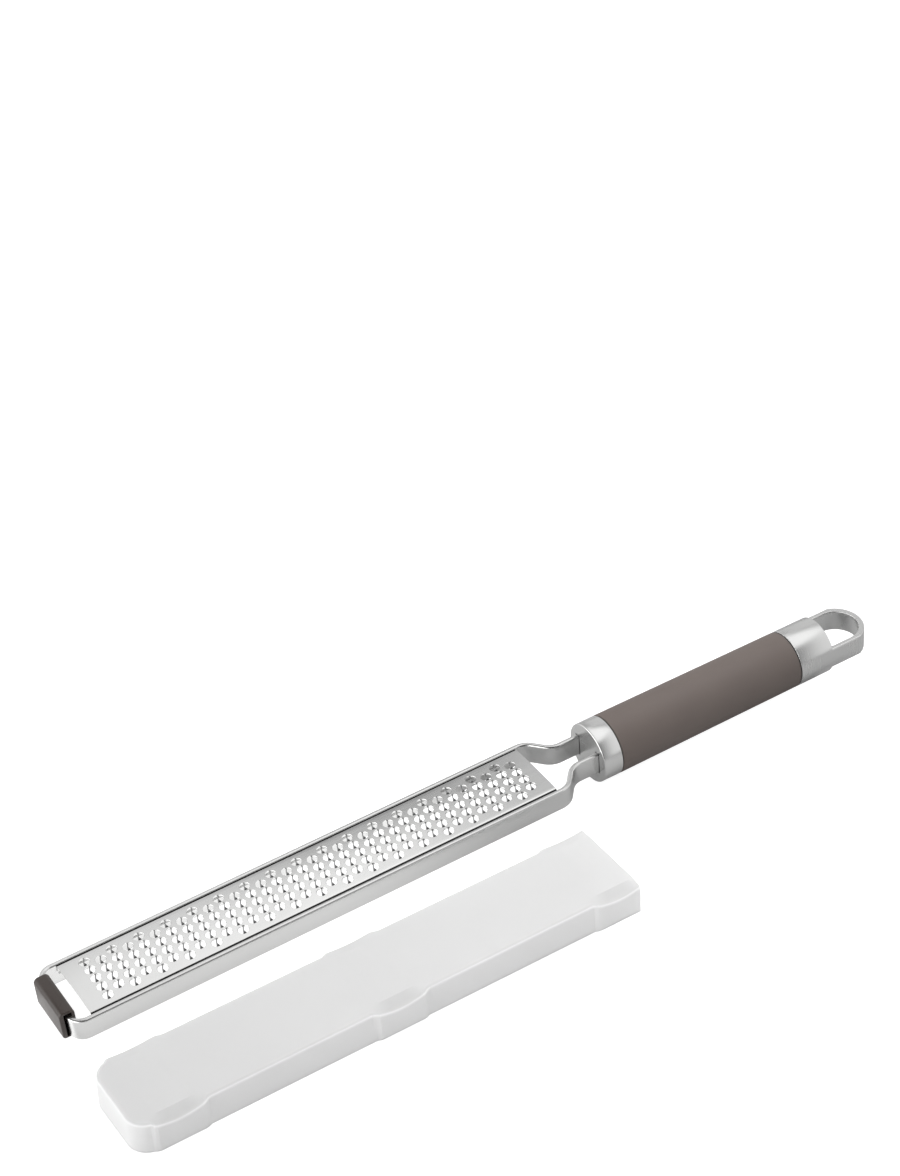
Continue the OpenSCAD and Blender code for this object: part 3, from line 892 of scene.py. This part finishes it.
KEPT_NODES = {
    "front_seal": SEAL_RUBBER,
    "rear_seal": SEAL_RUBBER,
    "handle_core": CORE_PLASTIC,
    "tie_bolt": FASTENER_STEEL,
    "bolt_washer": FASTENER_STEEL,
    "tang_pins": FASTENER_STEEL,
}
for name, material in KEPT_NODES.items():
    frame["nodes"][name].data.materials.clear()
    frame["nodes"][name].data.materials.append(material)


# Camera, floor and light

CAMERA_AT = (-0.22292, -0.71856, 0.74131)
CAMERA_TURN = (53.259, 2.892, -31.707)
CAMERA_LENS = 82.23

# Each span is where one level passes into the next.
# On the floor, places are metres along the zester and across it.
FLOOR_SIZE = 12.0
FLOOR_BELOW = 0.0002
FLOOR_COLOUR = 0.40
FLOOR_GLOW_SEEN = 0.9
FLOOR_GLOW_REFLECTED = 0.55
# In reflections, the glow below the plate is painted light, and its fall below the handle is painted shadow.
FLOOR_GLOW_BELOW_PLATE_PAINTED_LIGHT = 1.1
FLOOR_GLOW_HANDLE_PAINTED_SHADOW = 0.12
GLOW_HANDLE_SPAN = (0.11, 0.23)
GLOW_END_SPAN = (0.27, 0.34)
GLOW_PLATE_END_SPAN = (0.17, 0.205)
GLOW_PLATE_SIDE_SPAN = (0.013, 0.017)

# In the studio, places are parts of a unit direction: x to the right, z up.
LEFT_WALL = 3.2
LEFT_WALL_SPAN = (-0.85, -0.50)
FAR_SIDE_SPAN = (-0.15, 0.15)
FAR_WALL_LEFT = 0.95
FAR_WALL_MIDDLE = 0.31
FAR_WALL_RIGHT = 0.75
FAR_WALL_MIDDLE_SPAN = (0.22, 0.29)
FAR_WALL_RIGHT_SPAN = (0.335, 0.375)
NEAR_WALL_LEFT = 0.08
NEAR_WALL_MIDDLE = 0.62
NEAR_WALL_RIGHT = 1.0
NEAR_WALL_MIDDLE_SPAN = (0.20, 0.36)
NEAR_WALL_RIGHT_SPAN = (0.38, 0.50)
NEAR_WALL_HIGHER = 0.2
CEILING_LEFT = 0.15
CEILING_RIGHT = 1.36
CEILING_RIGHT_SPAN = (-0.05, 0.25)
CEILING_EDGE = 0.55
CEILING_EDGE_SPAN = (0.30, 0.345)
CEILING_EDGE_TOP_SPAN = (0.76, 0.84)
CEILING_HEIGHT_SPAN = (0.63, 0.71)

RIGHT_LIGHT = {"place": (0.42, 0.12, 0.5), "target": (0.25, -0.06, 0), "size": (0.4, 0.4), "watts": 1.7}
FRONT_LIGHT = {"place": (0.16, -0.38, 0.14), "target": (0.14, -0.08, 0), "size": (0.5, 0.12), "watts": 0.4}


def make_camera():
    data = bpy.data.cameras.new("camera")
    data.lens = CAMERA_LENS
    camera = bpy.data.objects.new("camera", data)
    camera.location = CAMERA_AT
    camera.rotation_euler = [math.radians(a) for a in CAMERA_TURN]
    bpy.context.scene.collection.objects.link(camera)
    bpy.context.scene.camera = camera


def floor_glow(tree):
    """Glow for what looks at the floor or mirrors it, and none for the light that the floor sheds.

    What mirrors it sees a strong glow in a strip below the plate, which is painted light, and one that fades
    out below the handle, which is painted shadow.
    """
    path = tree.nodes.new("ShaderNodeLightPath")
    mirrored = maths(tree, "MAXIMUM", path.outputs["Is Glossy Ray"], path.outputs["Is Transmission Ray"])
    coords = tree.nodes.new("ShaderNodeTexCoord")
    split = tree.nodes.new("ShaderNodeSeparateXYZ")
    tree.links.new(coords.outputs["Object"], split.inputs["Vector"])
    x = split.outputs["X"]
    handle = blend(tree, soft_step(tree, x, GLOW_END_SPAN), FLOOR_GLOW_HANDLE_PAINTED_SHADOW, 0.0)
    along = blend(tree, soft_step(tree, x, GLOW_HANDLE_SPAN), FLOOR_GLOW_REFLECTED, handle)
    beside = soft_step(tree, maths(tree, "ABSOLUTE", split.outputs["Y"]), GLOW_PLATE_SIDE_SPAN)
    below = blend(tree, soft_step(tree, x, GLOW_PLATE_END_SPAN), FLOOR_GLOW_BELOW_PLATE_PAINTED_LIGHT, along)
    reflected = maths(tree, "MULTIPLY", mirrored, blend(tree, beside, below, along))
    return blend(tree, path.outputs["Is Camera Ray"], reflected, FLOOR_GLOW_SEEN)


def make_floor():
    """A pale floor that reads as white where no shadow falls, with painted light and painted shadow in what
    mirrors it.
    """
    bm = bmesh.new()
    bmesh.ops.create_grid(bm, x_segments=1, y_segments=1, size=FLOOR_SIZE / 2)
    mesh = bpy.data.meshes.new("floor")
    bm.to_mesh(mesh)
    bm.free()
    floor = bpy.data.objects.new("floor", mesh)
    floor.location = (0, 0, -FLOOR_BELOW)
    bpy.context.scene.collection.objects.link(floor)
    material, tree, shader = new_material("floor_white")
    shader.inputs["Base Color"].default_value = (FLOOR_COLOUR, FLOOR_COLOUR, FLOOR_COLOUR, 1)
    shader.inputs["Roughness"].default_value = 1.0
    shader.inputs["Specular IOR Level"].default_value = 0.0
    shader.inputs["Emission Color"].default_value = (1, 1, 1, 1)
    tree.links.new(floor_glow(tree), shader.inputs["Emission Strength"])
    mesh.materials.append(material)


def studio_level(tree):
    """Brightness of the studio by direction: a bright wall on the left, far and near walls that change from
    left to right, and a ceiling that is dark on the left and bright on the right."""
    coords = tree.nodes.new("ShaderNodeTexCoord")
    split = tree.nodes.new("ShaderNodeSeparateXYZ")
    tree.links.new(coords.outputs["Generated"], split.inputs["Vector"])
    x, y, z = split.outputs
    far_side = soft_step(tree, y, FAR_SIDE_SPAN)
    far_wall = blend(tree, soft_step(tree, x, FAR_WALL_RIGHT_SPAN), FAR_WALL_MIDDLE, FAR_WALL_RIGHT)
    far_wall = blend(tree, soft_step(tree, x, FAR_WALL_MIDDLE_SPAN), FAR_WALL_LEFT, far_wall)
    near_wall = blend(tree, soft_step(tree, x, NEAR_WALL_RIGHT_SPAN), NEAR_WALL_MIDDLE, NEAR_WALL_RIGHT)
    near_wall = blend(tree, soft_step(tree, x, NEAR_WALL_MIDDLE_SPAN), NEAR_WALL_LEFT, near_wall)
    walls = blend(tree, far_side, near_wall, far_wall)
    walls = blend(tree, soft_step(tree, x, LEFT_WALL_SPAN), LEFT_WALL, walls)
    lowered = maths(tree, "MULTIPLY_ADD", far_side, NEAR_WALL_HIGHER, -NEAR_WALL_HIGHER)
    height = maths(tree, "ADD", z, lowered)
    ceiling = blend(tree, soft_step(tree, x, CEILING_RIGHT_SPAN), CEILING_LEFT, CEILING_RIGHT)
    edge = blend(tree, soft_step(tree, x, CEILING_EDGE_SPAN), ceiling, CEILING_EDGE)
    ceiling = blend(tree, soft_step(tree, z, CEILING_EDGE_TOP_SPAN), edge, ceiling)
    return blend(tree, soft_step(tree, height, CEILING_HEIGHT_SPAN), walls, ceiling)


def make_world():
    world = bpy.data.worlds.new("studio")
    bpy.context.scene.world = world
    world.use_nodes = True
    tree = world.node_tree
    back = tree.nodes["Background"]
    back.inputs["Color"].default_value = (1, 1, 1, 1)
    tree.links.new(studio_level(tree), back.inputs["Strength"])
    white = node(tree, "ShaderNodeBackground", Strength=1.0)
    white.inputs["Color"].default_value = (1, 1, 1, 1)
    path = tree.nodes.new("ShaderNodeLightPath")
    both = tree.nodes.new("ShaderNodeMixShader")
    tree.links.new(path.outputs["Is Camera Ray"], both.inputs["Fac"])
    tree.links.new(back.outputs["Background"], both.inputs[1])
    tree.links.new(white.outputs["Background"], both.inputs[2])
    tree.links.new(both.outputs["Shader"], tree.nodes["World Output"].inputs["Surface"])


def area_light(name, place, target, size, watts):
    data = bpy.data.lights.new(name, "AREA")
    data.shape = "RECTANGLE"
    data.size, data.size_y = size
    data.energy = watts
    lamp = bpy.data.objects.new(name, data)
    lamp.location = place
    aim = Vector(target) - Vector(place)
    lamp.rotation_euler = aim.to_track_quat("-Z", "Y").to_euler()
    lamp.visible_glossy = False
    bpy.context.scene.collection.objects.link(lamp)


make_camera()
make_floor()
make_world()
area_light("right_light", **RIGHT_LIGHT)
area_light("front_light", **FRONT_LIGHT)

bpy.context.scene.view_settings.view_transform = "Standard"
